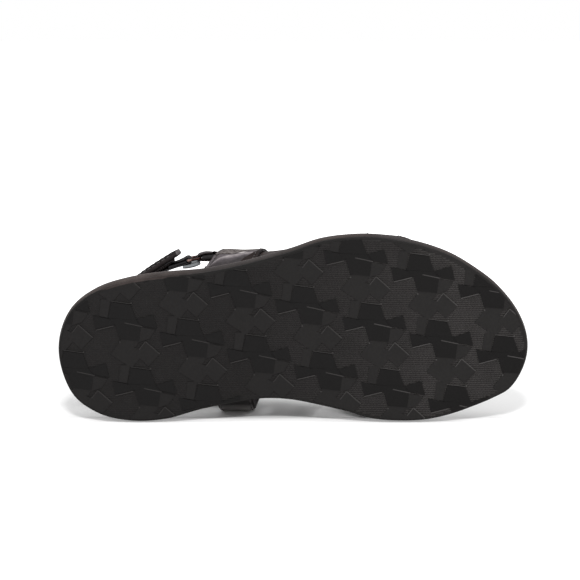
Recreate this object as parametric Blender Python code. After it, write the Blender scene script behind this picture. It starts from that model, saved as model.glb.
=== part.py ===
"""A right slingback sandal: modelled standing on its sole, then laid down on its medial side.

Sizes are in millimetres until a point is placed. While the sandal stands, a place on it is
  along   from the back of the heel towards the toe,
  across  from the plane that heel and ball touch on the medial side, towards the lateral side,
  rise    above the ground.
"""

import math
from collections import namedtuple

import bmesh
import bpy
from mathutils import Vector

MM = 0.001
MEDIAL, LATERAL = -1, 1

# Driving sizes
SOLE_LENGTH = 262.0
BALL_WIDTH = 103.9
OUTSOLE = 4.5
HEEL_MIDSOLE = 12.0
BALL_MIDSOLE = 10.0
INSOLE = 3.0
TOE_SPRING = 7.0
INSTEP = 75.0
GAP = 0.3

# Upper straps, lasted in under the insole
UPPER_WALL = 2.0
SETBACK = 2.8
BEND = 2.2
TAB = 11.0

# Sling
SLING_WIDTH = 12.0
SLING_WALL = 2.4
LOOP_WALL = 1.0
RING_WIRE = 0.75
RING_PITCH = 7.0
RING_SPAN = 13.4
RING_TURN = math.radians(12)
TIP_SHARE = 0.35

# Sole outline: along in hundredths of the length, both edges in hundredths of the ball width
Station = namedtuple("Station", "along medial lateral")
OUTLINE = [
    Station(0.0, 38.8, 38.8),
    Station(2.3, 17.1, 59.0),
    Station(7.6, 5.2, 70.5),
    Station(15.3, 0.0, 77.1),
    Station(22.9, 0.9, 79.9),
    Station(30.5, 6.2, 81.5),
    Station(36.6, 9.3, 84.0),
    Station(43.1, 11.7, 87.9),
    Station(49.6, 11.1, 92.7),
    Station(55.7, 8.2, 98.0),
    Station(61.1, 5.1, 100.1),
    Station(66.4, 1.3, 100.5),
    Station(72.5, 0.0, 98.5),
    Station(78.2, 0.7, 95.1),
    Station(83.6, 3.7, 89.9),
    Station(88.5, 7.9, 82.4),
    Station(92.7, 12.2, 74.3),
    Station(96.2, 17.1, 64.6),
    Station(100.0, 39.7, 39.7),
]

# The last: swells stand out past the sole's edges, rises are above them
LastSection = namedtuple("LastSection", "along medial_swell lateral_swell swell_rise crown_rise")
LAST = [
    LastSection(80, 8.5, 2.6, 23, 1.00 * INSTEP),
    LastSection(92, 10.5, 3.0, 22, 0.95 * INSTEP),
    LastSection(104, 11.0, 0.3, 21, 0.89 * INSTEP),
    LastSection(114, 7.0, -1.5, 20, 0.84 * INSTEP),
    LastSection(124, -1.6, -3.2, 19, 0.78 * INSTEP),
    LastSection(140, -2.2, -4.1, 18, 0.69 * INSTEP),
    LastSection(160, -1.2, -3.8, 16, 0.58 * INSTEP),
    LastSection(180, -1.4, -3.4, 14, 0.49 * INSTEP),
    LastSection(200, -1.8, -1.6, 12, 0.42 * INSTEP),
]

# Where each strap of the upper runs: its rear and front edge and its lift off the last
StrapRow = namedtuple("StrapRow", "place rear front lift")
STRAPS = {
    "instep_band": [
        StrapRow("medial foot", 86, 107.2, 0.0),
        StrapRow("medial side", 90, 109.8, 0.0),
        StrapRow("crown", 100, 127, 0.0),
        StrapRow("lateral side", 89, 114, 1.6),
        StrapRow("lateral foot", 80, 110, 0.0),
    ],
    "forward_strap": [
        StrapRow("medial foot", 172, 195, 0.0),
        StrapRow("medial side", 160, 182, 0.0),
        StrapRow("crown", 131, 155, 0.0),
        StrapRow("lateral side", 109, 131, 0.0),
        StrapRow("lateral foot", 113.5, 134, 0.0),
    ],
    "crossing_strap": [
        StrapRow("medial foot", 119, 141, 0.0),
        StrapRow("medial side", 122, 144, 0.7),
        StrapRow("crown", 139, 163, 1.9),
        StrapRow("lateral side", 171, 193, 0.6),
        StrapRow("lateral foot", 181, 203, 0.0),
    ],
}

# Stages round a strap: tab, bend, side and arch on the medial half, and the same back again
FIRST_FOOT, CROWN_STAGE, LAST_STAGE = 2, 4, 8
STAGE_STEPS = (1, 3, 3, 6, 6, 3, 3, 1)


def cubic_curve(start, leave, arrive, end, t):
    s = 1 - t
    return start * s ** 3 + leave * 3 * s * s * t + arrive * 3 * s * t * t + end * t ** 3


def smooth_line(places, values, keep_flats=False):
    """A cubic through the values; with keep_flats it never swings past two level neighbours."""
    runs = [after - before for before, after in zip(places, places[1:])]
    steps = [(after - before) / run for before, after, run in zip(values, values[1:], runs)]
    slopes = [steps[0]]
    for k in range(1, len(steps)):
        back, ahead = steps[k - 1], steps[k]
        if not keep_flats:
            slopes.append((runs[k] * back + runs[k - 1] * ahead) / (runs[k] + runs[k - 1]))
        elif back * ahead <= 0:
            slopes.append(0.0)
        else:
            slopes.append(2 * back * ahead / (back + ahead))
    slopes.append(steps[-1])

    def value_at(place):
        k = 0
        while k < len(runs) - 1 and place > places[k + 1]:
            k += 1
        t = (place - places[k]) / runs[k]
        if keep_flats:
            t = min(max(t, 0.0), 1.0)
        leave = values[k] + slopes[k] * runs[k] / 3
        arrive = values[k + 1] - slopes[k + 1] * runs[k] / 3
        return cubic_curve(values[k], leave, arrive, values[k + 1], t)

    return value_at


def column(rows, name, scale=1.0):
    return [getattr(row, name) * scale for row in rows]


# ---- the sole's outline and levels ----

STATION_ALONG = column(OUTLINE, "along", SOLE_LENGTH / 100)
middle_line = smooth_line(
    STATION_ALONG, [(row.medial + row.lateral) / 2 * BALL_WIDTH / 100 for row in OUTLINE])
half_width_squared = smooth_line(
    STATION_ALONG, [((row.lateral - row.medial) / 2 * BALL_WIDTH / 100) ** 2 for row in OUTLINE])

# The ground side: heel roll, flat heel, shallow arch, flat ball, toe spring
ground_side = smooth_line(
    [0, 13, 78, 100, 122, 144, 162, 206, 236, SOLE_LENGTH],
    [1.2, 0, 0, 1.4, 2.0, 1.2, 0, 0, 0.3 * TOE_SPRING, TOE_SPRING], keep_flats=True)
midsole_height = smooth_line(
    [0, 70, 130, 180, SOLE_LENGTH],
    [HEEL_MIDSOLE, HEEL_MIDSOLE, 11.0, BALL_MIDSOLE, BALL_MIDSOLE], keep_flats=True)
dish_depth = smooth_line(
    [0, 35, 90, 130, 185, SOLE_LENGTH], [1.5, 3.0, 1.5, 0.6, 1.4, 0.4], keep_flats=True)
arch_support = smooth_line(
    [0, 60, 105, 150, 185, SOLE_LENGTH], [0, 1.0, 4.5, 2.5, 0, 0], keep_flats=True)


def half_width(along):
    return math.sqrt(max(half_width_squared(along), 0.0))


def edge(along, side):
    """Across position of the sole's widest edge on one side."""
    return middle_line(along) + side * half_width(along)


def outline(turn):
    """Point of the outline: from the toe (-pi) by the medial side to the heel (0) and back."""
    turn = (turn + math.pi) % (2 * math.pi) - math.pi
    along = SOLE_LENGTH * (1 - math.cos(turn)) / 2
    return Vector((along, middle_line(along) + math.copysign(half_width(along), turn)))


def inset_outline(turn, inset):
    nudge = 0.001
    run = outline(turn + nudge) - outline(turn - nudge)
    return outline(turn) + Vector((run.y, -run.x)).normalized() * inset


def outsole_bottom(along, across):
    return ground_side(along)


def outsole_top(along, across):
    return ground_side(along) + OUTSOLE - GAP


def midsole_bottom(along, across):
    return ground_side(along) + OUTSOLE


def sole_edge_rise(along):
    return ground_side(along) + OUTSOLE + midsole_height(along)


def midsole_top(along, across):
    """The footbed: level with the edge at its rim, dished in the middle, raised at the medial arch."""
    side = (across - middle_line(along)) / max(half_width(along), 1.0)
    side = min(max(side, -1.0), 1.0)
    bowl = 1 - side ** 2
    arch = arch_support(along) * bowl * (1 - side) / 2 * (1.4 - 0.4 * side)
    return sole_edge_rise(along) - dish_depth(along) * bowl + arch


def insole_bottom(along, across):
    return midsole_top(along, across) + GAP


def insole_top(along, across):
    return midsole_top(along, across) + GAP + INSOLE


# ---- the last and the straps that follow it ----

LAST_ALONG = column(LAST, "along")
medial_swell = smooth_line(LAST_ALONG, column(LAST, "medial_swell"))
lateral_swell = smooth_line(LAST_ALONG, column(LAST, "lateral_swell"))
swell_rise = smooth_line(LAST_ALONG, column(LAST, "swell_rise"))
crown_rise = smooth_line(LAST_ALONG, column(LAST, "crown_rise"))


def last_section(along, stage):
    """Middle of the strap wall in the section at one along: (across, rise), medial side first."""
    side = MEDIAL if stage <= CROWN_STAGE else LATERAL
    stage = min(stage, LAST_STAGE - stage)
    rim = edge(along, side)
    tab_end = rim - side * (SETBACK + BEND + TAB)
    tab_root = rim - side * (SETBACK + BEND)
    tab_rise = midsole_top(along, tab_root) - UPPER_WALL / 2
    if stage < 1:
        across = tab_end + (tab_root - tab_end) * stage
        return Vector((across, midsole_top(along, across) - UPPER_WALL / 2))
    if stage < FIRST_FOOT:
        angle = (stage - 1) * math.pi / 2
        return Vector((tab_root + side * BEND * math.sin(angle), tab_rise + BEND * (1 - math.cos(angle))))
    foot = Vector((rim - side * SETBACK, tab_rise + BEND))
    top = sole_edge_rise(along)
    if side == MEDIAL:
        swell_across = max(rim - medial_swell(along), UPPER_WALL / 2)
    else:
        swell_across = rim + lateral_swell(along)
    swell = Vector((swell_across, top + swell_rise(along)))
    if stage < 3:
        climb = Vector((0, swell.y - foot.y))
        return cubic_curve(foot, foot + climb * 0.4, swell - climb * 0.45, swell, stage - FIRST_FOOT)
    crown = Vector((edge(along, MEDIAL) * 0.56 + edge(along, LATERAL) * 0.44, top + crown_rise(along)))
    climb = Vector((0, (crown.y - swell.y) * 0.62))
    reach = Vector(((crown.x - swell.x) * 0.55, 0))
    return cubic_curve(swell, swell + climb, crown - reach, crown, stage - 3)


def last_point(along, stage, lift):
    """Place on the strap wall, lifted off the last along the section's outward direction."""
    nudge = 0.02
    here = last_section(along, stage)
    run = last_section(along, min(stage + nudge, LAST_STAGE)) - last_section(along, max(stage - nudge, 0))
    outward = Vector((-run.y, run.x)).normalized()
    place = here + outward * lift
    return Vector((along, place.x, place.y))


def strap_lines(rows):
    """Rear edge, front edge and lift of a strap as functions of the stage."""
    stages = [2, 3, 4, 5, 6]
    return [smooth_line(stages, column(rows, name), keep_flats=True) for name in ("rear", "front", "lift")]


def strap_point(lines, stage, share, widen=0.0):
    rear, front, lift = (line(stage) for line in lines)
    along = rear - widen + (front - rear + 2 * widen) * share
    return last_point(along, stage, lift)


def stage_samples():
    samples = []
    for stage, steps in enumerate(STAGE_STEPS):
        samples += [stage + k / steps for k in range(steps)]
    return samples + [LAST_STAGE]


# ---- meshes ----

def material(name, colour, roughness, metallic=0.0):
    made = bpy.data.materials.new(name)
    made.use_nodes = True
    shader = made.node_tree.nodes["Principled BSDF"]
    shader.inputs["Base Color"].default_value = (*colour, 1.0)
    shader.inputs["Roughness"].default_value = roughness
    shader.inputs["Metallic"].default_value = metallic
    return made


def standing(place):
    """A place (along, across, rise) in millimetres as a point of the standing sandal in metres."""
    return Vector((place[0], -place[1], place[2])) * MM


def shaped_grid(name, columns, rows, place_at, finish):
    """A grid whose vertex (column, row) sits at place_at(column, row)."""
    bm = bmesh.new()
    bmesh.ops.create_grid(bm, x_segments=columns, y_segments=rows, size=1.0)
    for vert in bm.verts:
        along_grid = round((vert.co.x + 1) / 2 * columns)
        up_grid = round((vert.co.y + 1) / 2 * rows)
        vert.co = standing(place_at(along_grid, up_grid))
    bmesh.ops.remove_doubles(bm, verts=bm.verts, dist=0.01 * MM)
    bmesh.ops.recalc_face_normals(bm, faces=bm.faces)
    mesh = bpy.data.meshes.new(name)
    bm.to_mesh(mesh)
    bm.free()
    mesh.shade_smooth()
    mesh.set_sharp_from_angle(angle=math.radians(40))
    made = bpy.data.objects.new(name, mesh)
    made.data.materials.append(finish)
    bpy.context.scene.collection.objects.link(made)
    return made


def give_wall(made, thickness):
    wall = made.modifiers.new("wall", "SOLIDIFY")
    wall.thickness = thickness * MM
    wall.offset = 0.0
    wall.use_even_offset = True


def as_form(made):
    """Mark a helper that only joins or cuts."""
    made.hide_render = True
    made.display_type = "WIRE"


def combine(made, form, operation):
    step = made.modifiers.new(form.name, "BOOLEAN")
    step.operation = operation
    step.object = form


RimRow = namedtuple("RimRow", "inset up")
ProfileRow = namedtuple("ProfileRow", "share inset up")
SOLE_STATIONS = 44


def sole_layer(name, rim, across_steps, low, high, finish):
    """A layer of the sole between two levels, with a rim given from its lower to its upper corner."""
    shares = [-1 + 2 * k / across_steps for k in range(across_steps + 1)]
    profile = [ProfileRow(share, rim[0].inset, rim[0].up) for share in shares]
    profile += [ProfileRow(LATERAL, row.inset, row.up) for row in rim[1:-1]]
    profile += [ProfileRow(share, rim[-1].inset, rim[-1].up) for share in reversed(shares)]
    profile += [ProfileRow(MEDIAL, row.inset, row.up) for row in reversed(rim[1:-1])]
    profile.append(profile[0])

    def place_at(station, step):
        turn = math.pi * station / SOLE_STATIONS
        row = profile[step]
        medial = inset_outline(-turn, row.inset)
        lateral = inset_outline(turn, row.inset)
        across = medial.lerp(lateral, (row.share + 1) / 2)
        bottom = low(*across)
        return (*across, bottom + (high(*across) - bottom) * row.up)

    return shaped_grid(name, SOLE_STATIONS, len(profile) - 1, place_at, finish)


def make_outsole(finish):
    rim = [RimRow(2.0, 0.0), RimRow(1.2, 0.09), RimRow(0.95, 0.36), RimRow(0.75, 1.0)]
    return sole_layer("outsole", rim, 2, outsole_bottom, outsole_top, finish)


def make_midsole(finish):
    rim = [RimRow(0.75, 0.0), RimRow(0.15, 0.75), RimRow(0.1, 0.93), RimRow(0.8, 1.0)]
    return sole_layer("midsole", rim, 6, midsole_bottom, midsole_top, finish)


def make_insole(finish):
    rim = [RimRow(5.6, 0.0), RimRow(4.6, 0.32), RimRow(4.4, 0.65), RimRow(5.3, 1.0)]
    return sole_layer("insole", rim, 6, insole_bottom, insole_top, finish)


def strap_sheet(name, rows, samples, widen, finish):
    lines = strap_lines(rows)
    width_steps = 3

    def place_at(step, share):
        return strap_point(lines, samples[step], share / width_steps, widen)

    return shaped_grid(name, len(samples) - 1, width_steps, place_at, finish)


def make_upper(finish):
    """The three straps joined to one wall where they cross."""
    samples = stage_samples()
    upper = strap_sheet("upper", STRAPS["instep_band"], samples, 0, finish)
    give_wall(upper, UPPER_WALL)
    for name in ("forward_strap", "crossing_strap"):
        strap = strap_sheet(name, STRAPS[name], samples, 0, finish)
        give_wall(strap, UPPER_WALL)
        as_form(strap)
        combine(upper, strap, "UNION")
    return upper


def cut_strap_pockets(midsole, finish):
    """Recesses in the midsole for the tabs that each strap turns in under the insole."""
    beyond_tab = -GAP / TAB
    above_edge = 2.3
    medial_samples = [beyond_tab, 1.0, 1.34, 1.67, 2.0, above_edge]
    for name, rows in STRAPS.items():
        for side, samples in (("medial", medial_samples),
                              ("lateral", [LAST_STAGE - stage for stage in medial_samples])):
            pocket = strap_sheet(f"{name}_{side}_pocket", rows, samples, GAP, finish)
            give_wall(pocket, UPPER_WALL + 2 * GAP)
            as_form(pocket)
            combine(midsole, pocket, "DIFFERENCE")


# ---- sling, ring and tab ----

RouteRow = namedtuple("RouteRow", "along across rise lean")
RING_CENTRE = Vector((74.1, 85.1, 58.0))
RING_RUN = Vector((math.cos(RING_TURN), math.sin(RING_TURN), 0.0))
RING_OUT = Vector((-math.sin(RING_TURN), math.cos(RING_TURN), 0.0))


def ribbon(name, route, longest_step, width, thickness, finish, tip_length=0.0):
    """A flat strap along a smooth route; its width stands upright, leaned by the row's angle."""
    places, samples = [0.0], []
    for before, after in zip(route, route[1:]):
        span = (Vector(after[:3]) - Vector(before[:3])).length
        steps = math.ceil(span / longest_step)
        samples += [places[-1] + span * k / steps for k in range(steps)]
        places.append(places[-1] + span)
    lines = [smooth_line(places, column(route, field)) for field in RouteRow._fields]
    length = places[-1]
    samples.append(length)

    def centre(distance):
        return Vector([line(distance) for line in lines[:3]])

    def place_at(step, share):
        distance = samples[step]
        run = (centre(min(distance + 0.2, length)) - centre(max(distance - 0.2, 0))).normalized()
        upright = Vector((0, 0, 1))
        upright = (upright - run * upright.dot(run)).normalized()
        lean = math.radians(lines[3](distance))
        broad = upright * math.cos(lean) - upright.cross(run) * math.sin(lean)
        to_tip = length - distance
        full = 1.0
        if to_tip < tip_length:
            full = TIP_SHARE + (1 - TIP_SHARE) * math.sqrt(1 - (1 - to_tip / tip_length) ** 2)
        return centre(distance) + broad * (share / 2 - 0.5) * width * full

    made = shaped_grid(name, len(samples) - 1, 2, place_at, finish)
    give_wall(made, thickness)
    return made


def ring_place(run, out, rise):
    """Route row at a place given in the ring's own directions."""
    place = RING_CENTRE + RING_RUN * run + RING_OUT * out
    return RouteRow(place.x, place.y, rise, 0)


def fold_rows(bar, start_side, facing):
    """Rows half way round a bar of the ring: from one side of it to the other."""
    reach = RING_WIRE + GAP + LOOP_WALL / 2
    rows = []
    for k in range(7):
        angle = math.pi * k / 6 - math.pi / 2
        rows.append(ring_place(bar + facing * reach * math.cos(angle),
                               start_side * -reach * math.sin(angle), RING_CENTRE.z))
    return rows


def band_row(along, stage, lift, heelward):
    """Route row beside the instep band and leaned as it is; heelward is -1 for a toeward route."""
    climb = last_section(along, stage + 0.05) - last_section(along, stage - 0.05)
    lean = math.degrees(math.atan2(climb.x, abs(climb.y)))
    return RouteRow(*last_point(along, stage, lift), lean * heelward)


def make_heel_strap(finish):
    inside = -(UPPER_WALL + SLING_WALL) / 2 - 7 * GAP
    route = [
        band_row(108, 3.2, inside, 1),
        band_row(98, 3.2, inside, 1),
        RouteRow(86, 6.6, 57.5, 13),
        RouteRow(66, 8.5, 61, 12),
        RouteRow(44, 13.0, 65, 9),
        RouteRow(25, 23.0, 68, 8),
        RouteRow(15, 38.0, 69, 8),
        RouteRow(19, 53.5, 67.5, 7),
        RouteRow(31.5, 65.0, 64, 3),
        RouteRow(45.0, 75.8, 60, -3),
        RouteRow(55.5, 82.9, 58, -4),
        RouteRow(66.0, 89.3, 58, -4),
    ]
    return ribbon("heel_strap", route, 5.0, SLING_WIDTH, SLING_WALL, finish, tip_length=5)


def make_closure_strap(finish):
    route = [
        RouteRow(28.5, 58.9, 64.8, 3),
        RouteRow(37.5, 66.3, 62.3, 0),
        RouteRow(46.3, 72.8, 60, -4),
        RouteRow(55.1, 77.9, 58.4, -8),
        RouteRow(62.5, 80.6, 58, -6),
    ]
    inner = fold_rows(-RING_PITCH / 2, -1, 1)
    back = [
        ring_place(-RING_PITCH / 2 - 2.4, 0.9, 58),
        RouteRow(63.7, 82.9, 58, -5),
        RouteRow(60.3, 82.0, 58, -8),
        RouteRow(57.7, 80.8, 58, -8),
    ]
    return ribbon("closure_strap", route + inner + back, 4.0, SLING_WIDTH - 0.6, LOOP_WALL, finish)


def make_ring_tab(finish):
    inside = -(UPPER_WALL + LOOP_WALL) / 2 - 3 * GAP + 1.1
    front_bar = RING_PITCH / 2
    route = [
        band_row(105, 4.8, inside, -1),
        band_row(98, 4.8, inside, -1),
        band_row(91, 4.8, inside, -1),
        RouteRow(86.2, 87.9, 59, -6),
    ]
    fold = fold_rows(front_bar, 1, -1)
    back = [
        RouteRow(82.2, 84.7, 58.5, -7),
        RouteRow(85.6, 85.3, 58.5, -8),
    ]
    return ribbon("ring_tab", route + fold + back, 4.0, SLING_WIDTH - 0.6, LOOP_WALL, finish)


def make_ring(finish):
    """A rounded rectangle of wire, standing across the sling."""
    corner = 1.2
    half_run, half_rise = RING_PITCH / 2, RING_SPAN / 2
    curve = bpy.data.curves.new("ring", "CURVE")
    curve.dimensions = "3D"
    curve.bevel_depth = RING_WIRE * MM
    curve.bevel_resolution = 2
    spline = curve.splines.new("POLY")
    steps = 4
    spline.points.add(4 * (steps + 1) - 1)
    for quarter in range(4):
        sign_run = 1 if quarter in (0, 3) else -1
        sign_rise = 1 if quarter in (0, 1) else -1
        for k in range(steps + 1):
            angle = math.pi / 2 * (quarter + k / steps)
            place = (RING_CENTRE
                     + RING_RUN * (sign_run * (half_run - corner) + corner * math.cos(angle))
                     + Vector((0, 0, sign_rise * (half_rise - corner) + corner * math.sin(angle))))
            spline.points[quarter * (steps + 1) + k].co = (*standing(place), 1.0)
    spline.use_cyclic_u = True
    made = bpy.data.objects.new("ring", curve)
    curve.materials.append(finish)
    bpy.context.scene.collection.objects.link(made)
    return made


def lay_on_medial_side(pieces):
    """Turn everything down with one parent and set the origin under the middle of the pieces' box."""
    rest = bpy.data.objects.new("lying_on_medial_side", None)
    rest.rotation_euler = (-math.pi / 2, 0, 0)
    for made in list(bpy.data.objects):
        if made != rest:
            made.parent = rest
    bpy.context.scene.collection.objects.link(rest)
    bpy.context.view_layer.update()
    graph = bpy.context.evaluated_depsgraph_get()
    corners = []
    for piece in pieces:
        shape = piece.evaluated_get(graph)
        corners += [shape.matrix_world @ vert.co for vert in shape.to_mesh().vertices]
    lowest = Vector([min(corner[k] for corner in corners) for k in range(3)])
    highest = Vector([max(corner[k] for corner in corners) for k in range(3)])
    rest.location = -Vector(((lowest.x + highest.x) / 2, (lowest.y + highest.y) / 2, lowest.z))


def main():
    for old in list(bpy.data.objects):
        bpy.data.objects.remove(old)
    rubber = material("black_rubber", (0.022, 0.021, 0.022), 0.55)
    foam = material("covered_midsole", (0.045, 0.040, 0.040), 0.6)
    footbed = material("black_suede_footbed", (0.03, 0.028, 0.028), 0.85)
    leather = material("black_leather", (0.035, 0.032, 0.034), 0.45)
    lining = material("grey_lining", (0.12, 0.11, 0.115), 0.7)
    metal = material("rose_metal", (0.75, 0.55, 0.47), 0.25, 1.0)

    outsole = make_outsole(rubber)
    midsole = make_midsole(foam)
    cut_strap_pockets(midsole, foam)
    insole = make_insole(footbed)
    upper = make_upper(leather)
    heel_strap = make_heel_strap(leather)
    closure_strap = make_closure_strap(lining)
    ring_tab = make_ring_tab(leather)
    ring = make_ring(metal)
    lay_on_medial_side([outsole, midsole, insole, upper, heel_strap, closure_strap, ring_tab, ring])


main()
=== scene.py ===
"""Looks of the right slingback sandal, lying on its medial side.

Sizes are in millimetres of the standing sandal until a point is placed:
  along   from the back of the heel towards the toe,
  across  from the medial side towards the lateral side,
  rise    above the tread.
"""

from itertools import groupby
from math import atan2, ceil, copysign, cos, degrees, exp, pi, radians, sin, sqrt

import bmesh
import bpy
from mathutils import Matrix, Vector


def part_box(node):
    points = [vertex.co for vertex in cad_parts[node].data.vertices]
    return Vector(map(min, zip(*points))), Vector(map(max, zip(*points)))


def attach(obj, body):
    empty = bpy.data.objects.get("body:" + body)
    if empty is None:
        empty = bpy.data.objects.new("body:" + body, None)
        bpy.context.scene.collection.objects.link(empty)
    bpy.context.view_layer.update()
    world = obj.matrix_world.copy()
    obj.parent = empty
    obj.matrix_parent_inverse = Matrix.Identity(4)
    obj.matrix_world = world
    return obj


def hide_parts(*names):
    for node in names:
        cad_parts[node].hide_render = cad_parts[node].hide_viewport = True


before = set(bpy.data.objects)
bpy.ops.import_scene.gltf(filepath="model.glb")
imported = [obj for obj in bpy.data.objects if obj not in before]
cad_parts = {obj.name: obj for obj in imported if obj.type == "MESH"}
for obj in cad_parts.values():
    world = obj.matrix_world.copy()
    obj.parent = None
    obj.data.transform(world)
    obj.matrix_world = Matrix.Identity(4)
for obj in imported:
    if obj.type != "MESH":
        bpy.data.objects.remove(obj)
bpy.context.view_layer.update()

MM = 0.001
MEDIAL, LATERAL = -1, 1

# ---- sizes shared with the solids ----

SOLE_LENGTH = 262.0
BALL_WIDTH = 103.9
OUTSOLE = 4.5
HEEL_MIDSOLE = 12.0
BALL_MIDSOLE = 10.0
INSOLE = 3.0
TOE_SPRING = 7.0
INSTEP = 75.0
GAP = 0.3
UPPER_WALL = 2.0
SETBACK = 2.8
BEND = 2.2
TAB = 11.0
SLING_WIDTH = 12.0
SLING_WALL = 2.4
LOOP_WALL = 1.0
LOOP_NARROWED = 0.6
RING_WIRE = 0.75
RING_PITCH = 7.0
RING_SPAN = 13.4
RING_TURN = radians(12)
OUTLINE_SWING = 0.18  # how far the smooth outline passes its most medial station

# The solids' box places the sandal: its middle along, its tread side and its floor side
SOLE_LOW, SOLE_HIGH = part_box("midsole")
HEEL_AT = (SOLE_LOW.x + SOLE_HIGH.x) / 2 / MM - SOLE_LENGTH / 2
TREAD_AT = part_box("outsole")[0].y / MM
MEDIAL_AT = SOLE_LOW.z / MM + OUTLINE_SWING


def placed(along, across, rise):
    """A place on the standing sandal, in millimetres, as a point of the lying one, in metres."""
    return Vector((along + HEEL_AT, rise + TREAD_AT, across + MEDIAL_AT)) * MM


# Along, in hundredths of the sole's length, then medial and lateral, in hundredths of the ball's width
OUTLINE = [
    (0.0, 38.8, 38.8), (2.3, 17.1, 59.0), (7.6, 5.2, 70.5), (15.3, 0.0, 77.1),
    (22.9, 0.9, 79.9), (30.5, 6.2, 81.5), (36.6, 9.3, 84.0), (43.1, 11.7, 87.9),
    (49.6, 11.1, 92.7), (55.7, 8.2, 98.0), (61.1, 5.1, 100.1), (66.4, 1.3, 100.5),
    (72.5, 0.0, 98.5), (78.2, 0.7, 95.1), (83.6, 3.7, 89.9), (88.5, 7.9, 82.4),
    (92.7, 12.2, 74.3), (96.2, 17.1, 64.6), (100.0, 39.7, 39.7),
]

# Along, medial and lateral swell past the sole's edge, the swells' rise, crown as a share of the instep
LAST = [
    (80, 8.5, 2.6, 23, 1.00), (92, 10.5, 3.0, 22, 0.95), (104, 11.0, 0.3, 21, 0.89),
    (114, 7.0, -1.5, 20, 0.84), (124, -1.6, -3.2, 19, 0.78), (140, -2.2, -4.1, 18, 0.69),
    (160, -1.2, -3.8, 16, 0.58), (180, -1.4, -3.4, 14, 0.49), (200, -1.8, -1.6, 12, 0.42),
]

# A strap's section is told by its stage: the medial lasted end is 0, the lateral one is LAST_STAGE
FIRST_FOOT, SWELL_STAGE, CROWN_STAGE, LAST_FOOT, LAST_STAGE = 2, 3, 4, 6, 8
STAGE_STEPS = (1, 5, 9, 22, 22, 9, 5, 1)
BAND_STEPS = (1, 5, 14, 26, 56, 60, 8, 1)
STRAP_ACROSS, BAND_ACROSS = 6, 44

# Rear edge, front edge and lift: at the medial foot and side, the crown, the lateral side and foot
STRAPS = {
    "instep_band": [(86, 107.2, 0), (90, 109.8, 0), (100, 127, 0.3), (88.2, 114, 1.7), (79, 110, 0)],
    "forward_strap": [(172, 195, 0), (160, 182, 0), (131, 155, 0), (109, 131, -0.2),
                      (113.5, 134, 0)],
    "crossing_strap": [(119, 141, 0), (122, 144, 0.7), (139, 163, 2.15), (171, 193, 0.6),
                       (181, 203, 0)],
}


# ---- curves ----

def cubic_curve(start, leave, arrive, end, t):
    s = 1 - t
    return start * s ** 3 + leave * 3 * s * s * t + arrive * 3 * s * t * t + end * t ** 3


def smooth_line(places, values, flats=False):
    """A cubic through the values; with flats it never swings past two equal neighbours."""
    runs = [after - before for before, after in zip(places, places[1:])]
    steps = [(after - before) / run for before, after, run in zip(values, values[1:], runs)]
    slopes = [steps[0]]
    for k in range(1, len(steps)):
        back, ahead = steps[k - 1], steps[k]
        if not flats:
            slopes.append((runs[k] * back + runs[k - 1] * ahead) / (runs[k] + runs[k - 1]))
        elif back * ahead <= 0:
            slopes.append(0.0)
        else:
            slopes.append(2 * back * ahead / (back + ahead))
    slopes.append(steps[-1])

    def value_at(place):
        k = 0
        while k < len(runs) - 1 and place > places[k + 1]:
            k += 1
        t = (place - places[k]) / runs[k]
        if flats:
            t = min(max(t, 0.0), 1.0)
        leave = values[k] + slopes[k] * runs[k] / 3
        arrive = values[k + 1] - slopes[k + 1] * runs[k] / 3
        return cubic_curve(values[k], leave, arrive, values[k + 1], t)

    return value_at


# ---- the sole's outline and levels ----

STATION_ALONG = [along * (SOLE_LENGTH / 100) for along, _, _ in OUTLINE]
middle_line = smooth_line(
    STATION_ALONG, [(medial + lateral) / 2 * BALL_WIDTH / 100 for _, medial, lateral in OUTLINE])
half_width_squared = smooth_line(
    STATION_ALONG, [((lateral - medial) / 2 * BALL_WIDTH / 100) ** 2 for _, medial, lateral in OUTLINE])
ground_side = smooth_line(
    [0, 13, 78, 100, 122, 144, 162, 206, 236, SOLE_LENGTH],
    [1.2, 0, 0, 1.4, 2.0, 1.2, 0, 0, 0.3 * TOE_SPRING, TOE_SPRING], flats=True)
midsole_height = smooth_line(
    [0, 70, 130, 180, SOLE_LENGTH],
    [HEEL_MIDSOLE, HEEL_MIDSOLE, 11.0, BALL_MIDSOLE, BALL_MIDSOLE], flats=True)
dish_depth = smooth_line(
    [0, 35, 90, 130, 185, SOLE_LENGTH], [1.5, 3.0, 1.5, 0.6, 1.4, 0.4], flats=True)
arch_support = smooth_line(
    [0, 60, 105, 150, 185, SOLE_LENGTH], [0, 1.0, 4.5, 2.5, 0, 0], flats=True)


def half_width(along):
    return sqrt(max(half_width_squared(along), 0.0))


def edge(along, side):
    return middle_line(along) + side * half_width(along)


def outline(turn):
    """Point of the outline: from the toe (-pi) by the medial side to the heel (0) and back."""
    turn = (turn + pi) % (2 * pi) - pi
    along = SOLE_LENGTH * (1 - cos(turn)) / 2
    return Vector((along, middle_line(along) + copysign(half_width(along), turn)))


def inward(turn):
    nudge = 0.001
    run = outline(turn + nudge) - outline(turn - nudge)
    return Vector((run.y, -run.x)).normalized()


def inset_outline(turn, inset):
    return outline(turn) + inward(turn) * inset


def sole_edge_rise(along):
    return ground_side(along) + OUTSOLE + midsole_height(along)


def midsole_top(along, across):
    """The footbed: level with the edge at its rim, dished in the middle, raised at the medial arch."""
    side = (across - middle_line(along)) / max(half_width(along), 1.0)
    side = min(max(side, -1.0), 1.0)
    bowl = 1 - side ** 2
    arch = arch_support(along) * bowl * (1 - side) / 2 * (1.4 - 0.4 * side)
    return sole_edge_rise(along) - dish_depth(along) * bowl + arch


# ---- the last and the straps that follow it ----

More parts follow.
